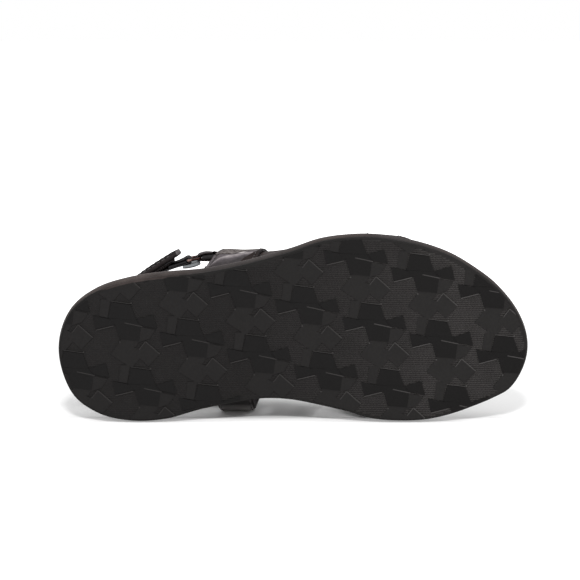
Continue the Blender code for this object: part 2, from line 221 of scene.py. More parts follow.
LAST_ALONG, *LAST_SIZES = zip(*LAST)
medial_swell, lateral_swell, swell_rise, crown_share = (smooth_line(LAST_ALONG, one) for one in LAST_SIZES)

# How far the section's curves keep their first and last direction, as shares of the way
FOOT_PULL, SWELL_PULL, SIDE_PULL, CROWN_PULL = 0.4, 0.45, 0.62, 0.55
CROWN_MEDIAL = 0.56


def last_section(along, stage):
    """Middle of the strap wall in the section at one along: (across, rise), medial side first."""
    side = MEDIAL if stage <= CROWN_STAGE else LATERAL
    stage = min(stage, LAST_STAGE - stage)
    rim = edge(along, side)
    tab_root = rim - side * (SETBACK + BEND)
    tab_end = tab_root - side * TAB
    tab_rise = midsole_top(along, tab_root) - UPPER_WALL / 2
    if stage < 1:
        across = tab_end + (tab_root - tab_end) * stage
        return Vector((across, midsole_top(along, across) - UPPER_WALL / 2))
    if stage < FIRST_FOOT:
        angle = (stage - 1) * pi / 2
        return Vector((tab_root + side * BEND * sin(angle), tab_rise + BEND * (1 - cos(angle))))
    foot = Vector((rim - side * SETBACK, tab_rise + BEND))
    top = sole_edge_rise(along)
    if side == MEDIAL:
        swell_across = max(rim - medial_swell(along), UPPER_WALL / 2)
    else:
        swell_across = rim + lateral_swell(along)
    swell = Vector((swell_across, top + swell_rise(along)))
    if stage < SWELL_STAGE:
        climb = Vector((0, swell.y - foot.y))
        return cubic_curve(foot, foot + climb * FOOT_PULL, swell - climb * SWELL_PULL, swell,
                           stage - FIRST_FOOT)
    crown_across = edge(along, MEDIAL) * CROWN_MEDIAL + edge(along, LATERAL) * (1 - CROWN_MEDIAL)
    crown = Vector((crown_across, top + INSTEP * crown_share(along)))
    climb = Vector((0, (crown.y - swell.y) * SIDE_PULL))
    reach = Vector(((crown.x - swell.x) * CROWN_PULL, 0))
    return cubic_curve(swell, swell + climb, crown - reach, crown, stage - SWELL_STAGE)


def last_point(along, stage, lift):
    """Place on the strap wall, lifted off the last along the section's outward direction."""
    nudge = 0.02
    run = last_section(along, min(stage + nudge, LAST_STAGE)) - last_section(along, max(stage - nudge, 0))
    place = last_section(along, stage) + Vector((-run.y, run.x)).normalized() * lift
    return Vector((along, *place))


# ---- mesh helpers ----

SLIVER = 0.001  # edges shorter than this, in millimetres, are dropped


def add_object(name, data):
    made = bpy.data.objects.new(name, data)
    bpy.context.scene.collection.objects.link(made)
    return made


def mesh_object(name, bm, finishes):
    mesh = bpy.data.meshes.new(name)
    bm.to_mesh(mesh)
    bm.free()
    for finish in finishes:
        mesh.materials.append(finish)
    return add_object(name, mesh)


def mesh_piece(name, bm, finishes, smooth_below=35):
    piece = mesh_object(name, bm, finishes)
    piece.data.shade_smooth()
    piece.data.set_sharp_from_angle(angle=radians(smooth_below))
    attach(piece, "root")
    return piece


def add_shaped_grid(bm, columns, rows, place_at, finish_at=None, painted_light_at=None):
    """A grid whose vertex (column, row) is moved to place_at(column, row)."""
    # The optional function gives each vertex its level of painted highlight and shade, kept as an attribute
    painted_light = bm.verts.layers.float.new("painted_light") if painted_light_at else None
    made = bmesh.ops.create_grid(bm, x_segments=columns, y_segments=rows, size=1.0)["verts"]

    def counted(spot, whole):
        return whole((spot.x + 1) / 2 * columns), whole((spot.y + 1) / 2 * rows)

    if finish_at:
        for face in {face for vert in made for face in vert.link_faces}:
            face.material_index = finish_at(*counted(face.calc_center_median(), int))
    for vert in made:
        spot = counted(vert.co, round)
        vert.co = placed(*place_at(*spot))
        if painted_light_at:
            vert[painted_light] = painted_light_at(*spot)


def close_shell(bm, merge=0.004):
    """Merge a grid's seam, cap its open ends and point its faces outwards."""
    bmesh.ops.remove_doubles(bm, verts=bm.verts, dist=merge * MM)
    bmesh.ops.dissolve_degenerate(bm, edges=bm.edges, dist=SLIVER * MM)
    bmesh.ops.holes_fill(bm, edges=[one for one in bm.edges if one.is_boundary], sides=0)
    bmesh.ops.recalc_face_normals(bm, faces=bm.faces)


def shell(*grid):
    """One closed grid."""
    bm = bmesh.new()
    add_shaped_grid(bm, *grid)
    close_shell(bm)
    return bm


# ---- finishes ----

class Finish:
    """A Principled material and the few nodes that its colour, roughness and bump are made of."""

    def __init__(self, name, colour, roughness, shine=0.5, **sockets):
        self.material = bpy.data.materials.new(name)
        self.material.use_nodes = True
        tree = self.material.node_tree
        self.nodes, self.links = tree.nodes, tree.links
        self.shader = self.nodes["Principled BSDF"]
        self.fill(self.shader, Base_Color=colour, Roughness=roughness, Specular_IOR_Level=shine,
                  **sockets)
        self.place = self.nodes.new("ShaderNodeTexCoord").outputs["Object"]
        self.bumped = None

    def put(self, socket, value):
        """Link a socket, or set its own value; a colour is given without its alpha."""
        if isinstance(value, bpy.types.NodeSocket):
            self.links.new(value, socket)
        else:
            socket.default_value = (*value, 1.0) if socket.type == "RGBA" else value

    def fill(self, node, **sockets):
        for name, value in sockets.items():
            name = name.replace("_", " ")
            self.put(next(one for one in node.inputs if one.name == name and one.enabled), value)
        return node

    def add(self, kind, **sockets):
        return self.fill(self.nodes.new("ShaderNode" + kind), **sockets)

    def noise(self, scale, detail=3.0, roughness=0.55):
        return self.add("TexNoise", Vector=self.place, Scale=scale, Detail=detail,
                        Roughness=roughness).outputs["Fac"]

    def cells(self, scale):
        return self.add("TexVoronoi", Vector=self.place, Scale=scale).outputs["Distance"]

    def waves(self, scale, direction, distortion=0.0):
        node = self.add("TexWave", Vector=self.place, Scale=scale, Distortion=distortion)
        node.bands_direction = direction
        return node.outputs["Fac"]

    def ramp(self, source, stops):
        node = self.add("ValToRGB", Fac=source)
        while len(node.color_ramp.elements) < len(stops):
            node.color_ramp.elements.new(0.5)
        for element, (position, colour) in zip(node.color_ramp.elements, stops):
            element.position = position
            element.color = (*colour, 1.0)
        return node.outputs["Color"]

    def range(self, source, low, high, from_low=0.0, from_high=1.0):
        return self.add("MapRange", Value=source, From_Min=from_low, From_Max=from_high,
                        To_Min=low, To_Max=high).outputs["Result"]

    def window(self, source, begins, full, fades, gone, top=1.0, left=0.0):
        """Rises to the top, stays, and falls to the share that is left."""
        return self.math("MULTIPLY", self.range(source, 0.0, top, begins, full),
                         self.range(source, 1.0, left, fades, gone))

    def axis(self, name):
        return self.add("SeparateXYZ", Vector=self.place).outputs[name]

    def math(self, operation, *values):
        node = self.add("Math")
        node.operation = operation
        for socket, value in zip(node.inputs, values):
            self.put(socket, value)
        return node.outputs["Value"]

    def weighted(self, first, first_weight, second, second_weight):
        return self.math("ADD", self.math("MULTIPLY", first, first_weight),
                         self.math("MULTIPLY", second, second_weight))

    def mixed(self, share, first, second):
        node = self.add("Mix")
        node.data_type = "RGBA"
        self.fill(node, Factor=share, A=first, B=second)
        return next(one for one in node.outputs if one.enabled)

    def rough(self, scale, low, high):
        self.fill(self.shader, Roughness=self.range(self.noise(scale), low, high))

    def bump(self, source, depth, strength=1.0):
        """Raise the surface by depth millimetres where the source is one."""
        node = self.add("Bump", Strength=strength, Distance=depth * MM, Height=source)
        if self.bumped:
            self.fill(node, Normal=self.bumped)
        self.bumped = node.outputs["Normal"]
        self.fill(self.shader, Normal=self.bumped)

    def done(self, colour, *grain):
        """The material, with this colour and with noise bumps of a scale, detail, depth and strength."""
        self.fill(self.shader, Base_Color=colour)
        for scale, detail, depth, strength in grain:
            self.bump(self.noise(scale, detail), depth, strength)
        return self.material


SPECK_GAIN = 1.7
SHADED_BROWN = (0.024, 0.021, 0.021)
SHADED_METAL = (0.028, 0.014, 0.012)


def moulded_rubber(name, colour, toe_colour, roughness):
    """Rubber that is a little greyer towards the toe, with fine mould texture and faint scuffs."""
    mat = Finish(name, colour, roughness, 0.07)
    towards_toe = mat.range(mat.axis("X"), 0.0, 1.0, -0.03, 0.09)
    cloud = mat.range(mat.noise(38, 4), 0.5, 1.3, 0.3, 0.7)
    share = mat.math("MULTIPLY", towards_toe, cloud)
    plain = mat.mixed(share, colour, toe_colour)
    bright = mat.mixed(share, *([SPECK_GAIN * one for one in each] for each in (colour, toe_colour)))
    speck = mat.range(mat.noise(900, 2), 0.0, 0.35, 0.35, 0.75)
    mat.rough(160, roughness - 0.08, roughness + 0.1)
    return mat.done(mat.mixed(speck, plain, bright), (2600, 2, 0.05, 0.7), (420, 3, 0.06, 0.5))


def strap_leather(name, dark, light, floor_bounce=None, shine=0.1):
    """Soft full-grain leather with cloudy colour, pores and shallow wrinkles.

    A paler colour, painted light bounced up from the floor, shows on the few millimetres nearest the ground
    that the sandal lies on.
    """
    mat = Finish(name, dark, 0.6, shine)
    cloud = mat.weighted(mat.noise(70, 4), 0.6, mat.noise(650), 0.4)
    colour = mat.ramp(cloud, [(0.36, dark), (0.64, light)])
    if floor_bounce:
        near_ground = mat.range(mat.axis("Z"), 1.0, 0.0, 0.5 * MM, 5.5 * MM)
        colour = mat.mixed(near_ground, colour, floor_bounce)
    mat.rough(240, 0.48, 0.7)
    mat.bump(mat.cells(1500), 0.12, 0.55)
    return mat.done(colour, (3200, 2, 0.04, 0.5), (90, 3, 0.25, 0.4))


def rolled_leather():
    """Lilac-grey leather of the band's foot, lighter where the piece's vertices carry painted highlight and
    darker where they carry painted shade.
    """
    mat = Finish("rolled_leather", (0.1, 0.09, 0.093), 0.65, 0.08)
    painted = mat.add("Attribute")
    painted.attribute_name = "painted_light"
    cloud = mat.range(mat.noise(260, 4, 0.65), -0.14, 0.14, 0.3, 0.7)
    colour = mat.ramp(mat.math("ADD", painted.outputs["Fac"], cloud), [
        (0.0, (0.034, 0.03, 0.031)), (0.35, (0.082, 0.072, 0.077)),
        (0.7, (0.2, 0.18, 0.185)), (1.0, (0.38, 0.355, 0.35))])
    mat.bump(mat.cells(1200), 0.1, 0.5)
    return mat.done(colour, (300, 3, 0.12, 0.5))


def nubby_fabric():
    """Grey-brown knit of small uneven knots."""
    mat = Finish("nubby_knit", (0.15, 0.13, 0.12), 0.9, 0.06)
    knots = mat.cells(620)
    colour = mat.ramp(mat.weighted(knots, 0.45, mat.noise(260, 4, 0.7), 0.7), [
        (0.34, (0.058, 0.05, 0.047)), (0.55, (0.104, 0.092, 0.089)), (0.8, (0.17, 0.154, 0.15))])
    mat.bump(knots, 0.3, 0.8)
    return mat.done(colour, (700, 4, 0.2, 0.7), (110, 3, 0.4, 0.5))


def strap_webbing(name, dark, light):
    """Close dark webbing: a twill of fine ribs with lighter specks."""
    mat = Finish(name, dark, 0.85, 0.03)
    twill = mat.waves(420, "DIAGONAL", 1.2)
    speck = mat.noise(750, 3, 0.7)
    colour = mat.ramp(mat.weighted(twill, 0.25, speck, 0.75), [(0.38, dark), (0.66, light)])
    mat.bump(twill, 0.12, 0.6)
    return mat.done(colour, (1700, 3, 0.1, 0.6))


def soft_lining(name, dark, light):
    """Fine woven lining."""
    mat = Finish(name, dark, 0.85, 0.1)
    weave = mat.math("MULTIPLY", mat.waves(520, "X", 0.6), mat.waves(520, "Z", 0.6))
    mat.bump(weave, 0.1, 0.5)
    return mat.done(mat.mixed(mat.noise(300), dark, light), (1800, 2, 0.05, 0.4))


def clouded(name, colour, roughness, shine, cloud, stops, grain, **sockets):
    """A plain material whose colour follows one noise."""
    mat = Finish(name, colour, roughness, shine, **sockets)
    return mat.done(mat.ramp(mat.noise(*cloud), stops), *grain)


def wrapped_side(name, dark, light, shaded):
    """Brown-black covering of the sole's side, worn lighter in places, with painted shade darkening it at
    the waist and at the ball.
    """
    mat = Finish(name, dark, 0.65, 0.08)
    brown = mat.ramp(mat.noise(55, 5, 0.6), [(0.34, dark), (0.7, light)])
    along = mat.axis("X")
    waist = mat.window(along, -0.065, -0.045, -0.008, 0.02)
    ball = mat.window(along, 0.03, 0.055, 0.07, 0.09, 0.8, 0.3)
    colour = mat.mixed(mat.weighted(waist, shaded, ball, 1.0), brown, SHADED_BROWN)
    mat.rough(200, 0.52, 0.72)
    mat.bump(mat.cells(1100), 0.1, 0.4)
    return mat.done(colour, (2600, 2, 0.04, 0.5))


def thread():
    mat = Finish("waxed_thread", (0.07, 0.066, 0.07), 0.6)
    mat.bump(mat.waves(1500, "DIAGONAL"), 0.05, 0.6)
    return mat.done(mat.ramp(mat.noise(900), [
        (0.35, (0.03, 0.027, 0.027)), (0.7, (0.06, 0.055, 0.055))]))


def rose_metal():
    """Rose plating in cloudy spots, the bright ones painted glints, with painted shade darkening it to near
    black towards the tab.
    """
    mat = Finish("rose_metal", (0.6, 0.42, 0.37), 0.3, Metallic=1.0)
    plated = mat.ramp(mat.noise(420), [(0.35, (0.13, 0.06, 0.05)), (0.7, (0.62, 0.44, 0.39))])
    towards_tab = mat.range(mat.axis("X"), 0.0, 1.0, -0.06, -0.0578)
    mat.rough(900, 0.2, 0.4)
    return mat.done(mat.mixed(towards_tab, plated, SHADED_METAL), (2600, 2, 0.02, 0.4))


RUBBER = moulded_rubber("sole_rubber", (0.0088, 0.0082, 0.008), (0.012, 0.0111, 0.0108), 0.65)
GROUND_RUBBER = moulded_rubber("ribbed_rubber", (0.011, 0.0102, 0.01), (0.0286, 0.0265, 0.0258), 0.75)
STAR_RUBBER = moulded_rubber("star_rubber", (0.0097, 0.009, 0.0089), (0.0117, 0.011, 0.0107), 0.65)
PADDLE_RUBBER = moulded_rubber("paddle_rubber", (0.0058, 0.0054, 0.0054), (0.0055, 0.0051, 0.005), 0.6)
# Paler rubber of the tread's lips and nubs: painted highlight along the plates' edges
TREAD_LIP_HIGHLIGHT = moulded_rubber("tread_lip_highlight", (0.021, 0.0196, 0.0192), (0.0385, 0.0364, 0.0357), 0.6)
BROWN_LEATHER = strap_leather("brown_leather", (0.019, 0.0145, 0.014), (0.042, 0.032, 0.031))
DARK_LEATHER = strap_leather("dark_leather", (0.0125, 0.009, 0.0085), (0.026, 0.0195, 0.0185), shine=0.03)
# The band's medial side; its paler colour near the ground is painted light bounced up from the floor
SIDE_LEATHER = strap_leather("side_leather", (0.022, 0.02, 0.02), (0.032, 0.029, 0.029), (0.3, 0.285, 0.28))
ROLLED_LEATHER = rolled_leather()
KNIT = nubby_fabric()
WEBBING = strap_webbing("sling_webbing", (0.0055, 0.0045, 0.0046), (0.021, 0.0172, 0.0178))
PALE_WEBBING = strap_webbing("pale_webbing", (0.05, 0.045, 0.046), (0.15, 0.138, 0.138))
EDGE = clouded("painted_edge", (0.02, 0.016, 0.016), 0.6, 0.05, (130,),
               [(0.3, (0.012, 0.0095, 0.0097)), (0.8, (0.028, 0.023, 0.0235))], [(1300, 2, 0.05, 0.5)])
LINING = soft_lining("strap_lining", (0.055, 0.05, 0.053), (0.1, 0.092, 0.097))
CLOSURE_LINING = soft_lining("closure_lining", (0.016, 0.0155, 0.0165), (0.03, 0.0288, 0.0305))
LOOP_LINING = soft_lining("loop_lining", (0.17, 0.182, 0.19), (0.24, 0.252, 0.258))
SUEDE = clouded("footbed_suede", (0.035, 0.032, 0.033), 0.92, 0.12, (85, 5, 0.65),
                [(0.32, (0.03, 0.026, 0.026)), (0.7, (0.075, 0.066, 0.065))],
                [(2400, 3, 0.1, 0.6), (300, 3, 0.12, 0.4)],
                Sheen_Weight=0.25, Sheen_Roughness=0.45)
WRAP = wrapped_side("wrapped_midsole", (0.0262, 0.0201, 0.0187), (0.0612, 0.0483, 0.0446), 0.66)
RIM_PAINT = wrapped_side("painted_rim", (0.0174, 0.0134, 0.0127), (0.0395, 0.031, 0.0291), 0.75)
# The midsole's paler top lip is a painted highlight along the sole's top edge
MIDSOLE_LIP_HIGHLIGHT = wrapped_side("midsole_lip_highlight", (0.1242, 0.1086, 0.1067), (0.184, 0.1656, 0.1656), 0.12)
THREAD = thread()
ROSE = rose_metal()


# ---- sole layers ----

SOLE_STATIONS = 150


def sole_layer(rim, across_steps, low, high, lip_from=1.0, painted_rim=None):
    """A closed layer between two levels; its rim's rows are (inset, share of the height), upwards.

    The rim's strips above lip_from take the second finish, and on the lateral side those that
    painted_rim(along, up) picks.
    """
    shares = [-1 + 2 * k / across_steps for k in range(across_steps + 1)]
    profile = [(share, *rim[0]) for share in shares]
    profile += [(LATERAL, *row) for row in rim[1:-1]]
    profile += [(share, *rim[-1]) for share in reversed(shares)]
    profile += [(MEDIAL, *row) for row in reversed(rim[1:-1])]
    profile.append(profile[0])

    def place_at(station, step):
        turn = pi * station / SOLE_STATIONS
        share, inset, up = profile[step]
        along, across = inset_outline(-turn, inset).lerp(inset_outline(turn, inset), (share + 1) / 2)
        bottom = low(along, across)
        return along, across, bottom + (high(along, across) - bottom) * up

    def finish_at(station, step):
        if painted_rim and 0 <= step - across_steps < len(rim) - 1:
            along = outline(pi * (station + 0.5) / SOLE_STATIONS)[0]
            return int(painted_rim(along, rim[step - across_steps + 1][1]))
        return int(any(lip_from <= up < 1.0 for _, _, up in profile[step:step + 2]))

    return shell(SOLE_STATIONS, len(profile) - 1, place_at, finish_at)


TREAD_DEPTH = 0.8
# Above this share of the midsole's height its rim takes the painted highlight of the top lip
LIP_FROM = 0.9  # of the midsole's height
painted_from = smooth_line([10, 16, 21, 27, 60, 70, 85, 112], [1.0, 0.95, 0.5, 0.0, 0.0, 0.2, 0.5, 1.0])


def outsole_piece():
    rim = [(2.3, 0.0), (1.7, 0.03), (1.25, 0.14),
           *[(1.0 - 0.0375 * k, 0.32 + 0.07 * k) for k in range(4)],
           *[(0.85 - 0.0125 * k, 0.6 + 0.0825 * k) for k in range(5)], (1.1, 1.0)]
    bm = sole_layer(rim, 16, lambda along, across: ground_side(along) + TREAD_DEPTH,
                    lambda along, across: ground_side(along) + OUTSOLE - GAP,
                    painted_rim=lambda along, up: up > painted_from(along))
    piece = mesh_piece("sole_base", bm, [RUBBER, RIM_PAINT])
    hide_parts("outsole")


def midsole_piece():
    rim = [(1.2, 0.0), (0.75, 0.02), (0.45, 0.10), (0.2, 0.25), (0.1, 0.45), (0.12, 0.65), (0.25, 0.78),
           (0.42, 0.84), (0.2, 0.87), (0.1, 0.92), (0.25, 0.965), (0.7, 0.995), (1.3, 1.0)]
    bm = sole_layer(rim, 24, lambda along, across: ground_side(along) + OUTSOLE, midsole_top, LIP_FROM)
    piece = mesh_piece("wrapped_midsole", bm, [WRAP, MIDSOLE_LIP_HIGHLIGHT])
    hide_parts("midsole")


def insole_piece():
    rim = [(5.4, 0.0), (4.7, 0.15), (4.4, 0.4), (4.5, 0.7), (4.9, 0.9), (5.6, 1.0)]
    bm = sole_layer(rim, 24, lambda along, across: midsole_top(along, across) + GAP,
                    lambda along, across: midsole_top(along, across) + GAP + INSOLE)
    piece = mesh_piece("footbed", bm, [SUEDE])
    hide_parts("insole")


# ---- tread ----

# One repeat of the tread in millimetres from its paddle cross: towards the toe, towards lateral
CELL_ALONG = Vector((37.1, -9.3))
CELL_DOWN = Vector((-26.6, -27.4))
FIRST_CROSS = Vector((38.2, 56.5))
# Plates: level of the walking face, corners
PADDLES = [
    (0.08, [(-7.5, 11.1), (2.8, 9.7), (5.9, 1.2), (-9.7, 2.2)]),
    (0.09, [(-5.8, -1.0), (8.5, -2.4), (7.4, -10.7), (-3.4, -9.6)]),
    (0.10, [(-18.1, 3.6), (-9.3, 1.8), (-5.8, -1.4), (-16.5, -3.9)]),
    (0.11, [(5.9, 1.4), (15.3, 4.2), (17.3, -3.6), (8.5, -1.8)]),
    (0.13, [(-9.5, 2.1), (6.0, 1.2), (8.6, -2.2), (-6.0, -1.4)]),
]
STARS = [
    (0.27, [(-8.5, -18.1), (-2.8, -10.4), (10.5, -16.9), (3.2, -25.8)]),
    (0.20, [(10.9, -11.0), (18.7, -18.1), (12.5, -24.8), (4.4, -17.2)]),
    (0.23, [(6.8, -2.4), (16.4, -4.4), (13.0, -9.4), (6.6, -11.6)]),
    (0.25, [(-13.6, 12.6), (-8.2, 12.6), (-9.9, 2.4), (-14.6, 3.2)]),
    (0.29, [(-2.4, -9.0), (8.0, -9.8), (5.5, -14.0), (-4.0, -13.4)]),
]
# Lips, thin strips of paler rubber that stand as painted highlight on the plates' edges: start, end, width
LIPS = [
    ((-16.4, -4.5), (-6.6, -2.1), 0.6),
    ((-0.6, -0.4), (9.2, -2.5), 0.5),
    ((10.9, -10.9), (7.4, -15.4), 0.4),
    ((10.9, -10.9), (18.8, -17.9), 0.5),
    ((-7.6, 11.6), (2.8, 10.2), 0.3),
]
NUBS = [(3.2, 10.6), (-3.2, -11.2)]
NUB_RADIUS, NUB_SIDES = 0.5, 6
TREAD_MARGIN = 2.2
RIM_SAMPLES = [(inset_outline(turn, TREAD_MARGIN), -inward(turn))
               for turn in map(radians, range(-180, 180))]
TRIM_CUTS, TRIM_SLACK = 4, 0.05
PLATE_STEP = 8  # plates are split this often, so that they follow the toe spring
PLATE_ROOT = TREAD_DEPTH + 0.3


def tread_cells():
    """Places of every repeat that can reach the sole."""
    reach_along, reach_across = 25, 30
    cells = [FIRST_CROSS + CELL_ALONG * column + CELL_DOWN * row
             for column in range(-4, 12) for row in range(-5, 7)]
    return [cell for cell in cells if -reach_along < cell.x < SOLE_LENGTH + reach_along
            and -reach_across < cell.y < BALL_WIDTH + reach_across]


def add_trimmed_plate(bm, level, corners, cell):
    """A flat plate in plan, cut back to the tread's rim. Nothing is left where it lies outside."""
    faces = [bm.faces.new([bm.verts.new((cell.x + x, cell.y + y, level)) for x, y in corners])]
    for _ in range(TRIM_CUTS):
        verts = {vert for one in faces for vert in one.verts}
        worst, rim = TRIM_SLACK, None
        for vert in verts:
            spot = vert.co.to_2d()
            near, outward = min(RIM_SAMPLES, key=lambda sample: (spot - sample[0]).length_squared)
            beyond = (spot - near).dot(outward)
            if beyond > worst:
                worst, rim = beyond, (near, outward)
        if rim is None:
            return
        geometry = [*verts, *{one for vert in verts for one in vert.link_edges}, *faces]
        cut = bmesh.ops.bisect_plane(bm, geom=geometry, dist=SLIVER, plane_co=rim[0].to_3d(),
                                     plane_no=rim[1].to_3d(), clear_outer=True)
        faces = [one for one in cut["geom"] if isinstance(one, bmesh.types.BMFace) and one.is_valid]


def tread_layer(name, plates, finish, bevel):
    """Plates raised off the sole: their walking face is at the level and their root is in the sole."""
    bm = bmesh.new()
    for cell in tread_cells():
        for level, corners in plates:
            add_trimmed_plate(bm, level, corners, cell)
    for along in range(PLATE_STEP, int(SOLE_LENGTH), PLATE_STEP):
        bmesh.ops.bisect_plane(bm, geom=bm.verts[:] + bm.edges[:] + bm.faces[:], dist=SLIVER,
                               plane_co=(along, 0, 0), plane_no=(1, 0, 0))
    bmesh.ops.delete(bm, geom=[vert for vert in bm.verts if not vert.link_faces], context="VERTS")
    raised = bmesh.ops.extrude_face_region(bm, geom=bm.faces[:])["geom"]
    root = {one for one in raised if isinstance(one, bmesh.types.BMVert)}
    for vert in root:
        vert.co.z = PLATE_ROOT
    top = set(bm.verts) - root
    rims = [one for one in bm.edges if top.issuperset(one.verts)
            and any(not top.issuperset(face.verts) for face in one.link_faces)]
    bmesh.ops.recalc_face_normals(bm, faces=bm.faces)
    bmesh.ops.bevel(bm, geom=rims, offset=bevel, segments=1, profile=0.5, affect="EDGES",
                    material=-1, clamp_overlap=True)
    for vert in bm.verts:
        along, across, level = vert.co
        vert.co = placed(along, across, ground_side(along) + level)
    bmesh.ops.recalc_face_normals(bm, faces=bm.faces)
    mesh_piece(name, bm, [finish], 20)


def lip_plate(lip):
    start, end, width = Vector(lip[0]), Vector(lip[1]), lip[2]
    side = (end - start).normalized().orthogonal() * width / 2
    return 0.0, [start + side, start - side, end - side, end + side]


def nub_plate(nub):
    turns = [2 * pi * k / NUB_SIDES for k in range(NUB_SIDES)]
    return 0.0, [Vector(nub) + NUB_RADIUS * Vector((cos(turn), sin(turn))) for turn in turns]


RIB_PITCH, FIRST_RIB, RIPPLE_PITCH = 1.2, 0.7, 0.9
RIB_HALF, RIPPLE_SWING = 0.56, 0.2
RIB_ROOT = TREAD_DEPTH + 0.1
CREST, CREST_SWING, HEEL_CREST = -0.36, 0.08, 0.25  # the ribs are shallow at the heel
FULL_CREST_ALONG = 165
RIB_MARGIN, RIB_REACH = 2.2, 2.4
SHORTEST_RUN = 3


def rib_run(bm, across, start, steps):
    """One rippled rib: a closed bar with its crest swung from side to side."""
    sways = [-RIB_HALF, 0.0, RIB_HALF]

    def place_at(step, row):
        along = start + step * RIPPLE_PITCH
        on_crest = row % 3 == 1
        swing = (1 if step % 2 else -1) if on_crest else 0
        depth = HEEL_CREST + (1 - HEEL_CREST) * min(along / FULL_CREST_ALONG, 1)
        level = TREAD_DEPTH + (CREST + CREST_SWING * swing) * depth if on_crest else RIB_ROOT
        return along, across + sways[row % 3] + RIPPLE_SWING * swing, ground_side(along) + level

    add_shaped_grid(bm, steps, 3, place_at)


def ribs_piece():
    bm = bmesh.new()
    for row in range(int(BALL_WIDTH / RIB_PITCH)):
        across = row * RIB_PITCH + FIRST_RIB

        def within(step):
            along = step * RIPPLE_PITCH
            near = [edge(min(max(along + shift, 0), SOLE_LENGTH), side)
                    for side in (MEDIAL, LATERAL) for shift in (-RIB_REACH, 0, RIB_REACH)]
            return along <= SOLE_LENGTH and max(near[:3]) + RIB_MARGIN < across < min(near[3:]) - RIB_MARGIN

        for inside, run in groupby(range(int(SOLE_LENGTH / RIPPLE_PITCH) + 2), within):
            steps = list(run)
            if inside and len(steps) > SHORTEST_RUN:
                rib_run(bm, across, steps[0] * RIPPLE_PITCH, len(steps) - 1)
    close_shell(bm, 0.002)
    mesh_piece("tread_ribs", bm, [GROUND_RUBBER], 20)


def tread_pieces():
    ribs_piece()
    tread_layer("tread_stars", STARS, STAR_RUBBER, 0.15)
    tread_layer("tread_paddles", PADDLES, PADDLE_RUBBER, 0.15)
    tread_layer("tread_lips", [*map(lip_plate, LIPS), *map(nub_plate, NUBS)], TREAD_LIP_HIGHLIGHT, 0.1)


# ---- straps ----

OUTER, PAINTED, INNER, ROLLED, DARK, SIDE = range(6)
# A strap's long edge with its seam's groove: millimetres in from the edge, share of the wall up
EDGE_ROWS = [(0.0, 0.0), (0.35, 0.36), (1.0, 0.5), (1.9, 0.49), (2.15, 0.40), (2.4, 0.49), (3.2, 0.52)]
PAINTED_WIDTH, CROWNED, UNDER_SHARE = 0.7, 0.03, 0.34


def strap_profile(width, wall, across_steps=4):
    """Section of a strap, as (share of the width, height off the middle) and the finish of each strip."""
    outer = [(offset / width, wall * up) for offset, up in EDGE_ROWS]
    first = outer[-1][0]
    shares = [first + (1 - 2 * first) * k / across_steps for k in range(1, across_steps)]
    middle = [(share, wall * (EDGE_ROWS[-1][1] + CROWNED * (1 - (2 * share - 1) ** 2))) for share in shares]
    top = outer + middle + [(1 - share, up) for share, up in reversed(outer)]
    under = [(1 - share, -up) for share, up in outer[1:3]]
    under += [(1 - UNDER_SHARE, -wall / 2), (UNDER_SHARE, -wall / 2)]
    under += [(share, -up) for share, up in reversed(outer[1:3])]
    loop = top + under + [top[0]]
    finishes = []
    for (share, up), (next_share, next_up) in zip(loop, loop[1:]):
        centre = (share + next_share) / 2
        near_edge = min(centre, 1 - centre) * width < PAINTED_WIDTH
        finishes.append(PAINTED if near_edge else (OUTER if up + next_up > 0 else INNER))
    return loop, finishes


# The band's lateral foot: smooth leather below one line, its roll along the next, a dark front corner
PANEL_SHARES = [0.0, 0.1, 0.2, 0.3, 0.45, 0.6, 0.74]
PANEL_END = PANEL_SHARES[-1]
panel_edge = smooth_line(PANEL_SHARES, [5.27, 5.28, 5.3, 5.32, 5.33, 5.2, 5.13])
roll_crest = smooth_line(PANEL_SHARES, [5.8, 5.68, 5.5, 5.46, 5.44, 5.4, 5.36])
corner_edge = smooth_line([4.9, 5.04, 5.2, 5.3, 5.45, 5.56, 5.7, 6.0],
                          [1.0, 0.97, 0.92, 0.88, 0.81, 0.74, 0.7, 0.67], flats=True)
MEDIAL_LEATHER_TO, KNIT_TO, PANEL_TOP, GROOVE_FROM = 3.4, 4.85, 4.7, 5.2  # stages
ROLL_HIGH, GROOVE_DEEP, PANEL_HIGH, CORNER_HIGH = 0.6, 0.4, 0.3, 0.5
SEAM_SHARE, SEAM_LINE = 0.105, 0.045
# Painted light on the band's rolled foot: the place of the patch of painted highlight, the highlight's
# strength along the roll and in the patch, how much darker the rear seam is, and the painted shade's level
# above the roll and its fall per stage below it
PATCH_STAGE, PATCH_SHARE = 5.25, 0.6
CREST_HIGHLIGHT, PATCH_HIGHLIGHT, SEAM_DULL = 0.75, 1.1, 0.3
DULL, DULLING = 0.34, 1.4


def step_up(distance, soft):
    return 1 / (1 + exp(-distance / soft))


def bell(distance, width):
    return exp(-(distance / width) ** 2)


def panel_relief(stage, share):
    """Height that the panel, its roll and the corner add to the band."""
    if stage < PANEL_TOP:
        return 0.0
    panel_share = min(share, PANEL_END)
    beyond = share - corner_edge(stage)
    roll = ROLL_HIGH * bell(stage - roll_crest(panel_share), 0.06)
    groove = -GROOVE_DEEP * bell(share - SEAM_SHARE, 0.02) * step_up(stage - GROOVE_FROM, 0.03)
    panel = PANEL_HIGH * step_up(stage - panel_edge(panel_share), 0.012)
    return (panel + roll + groove) * step_up(-beyond, 0.015) + CORNER_HIGH * step_up(beyond, 0.015)


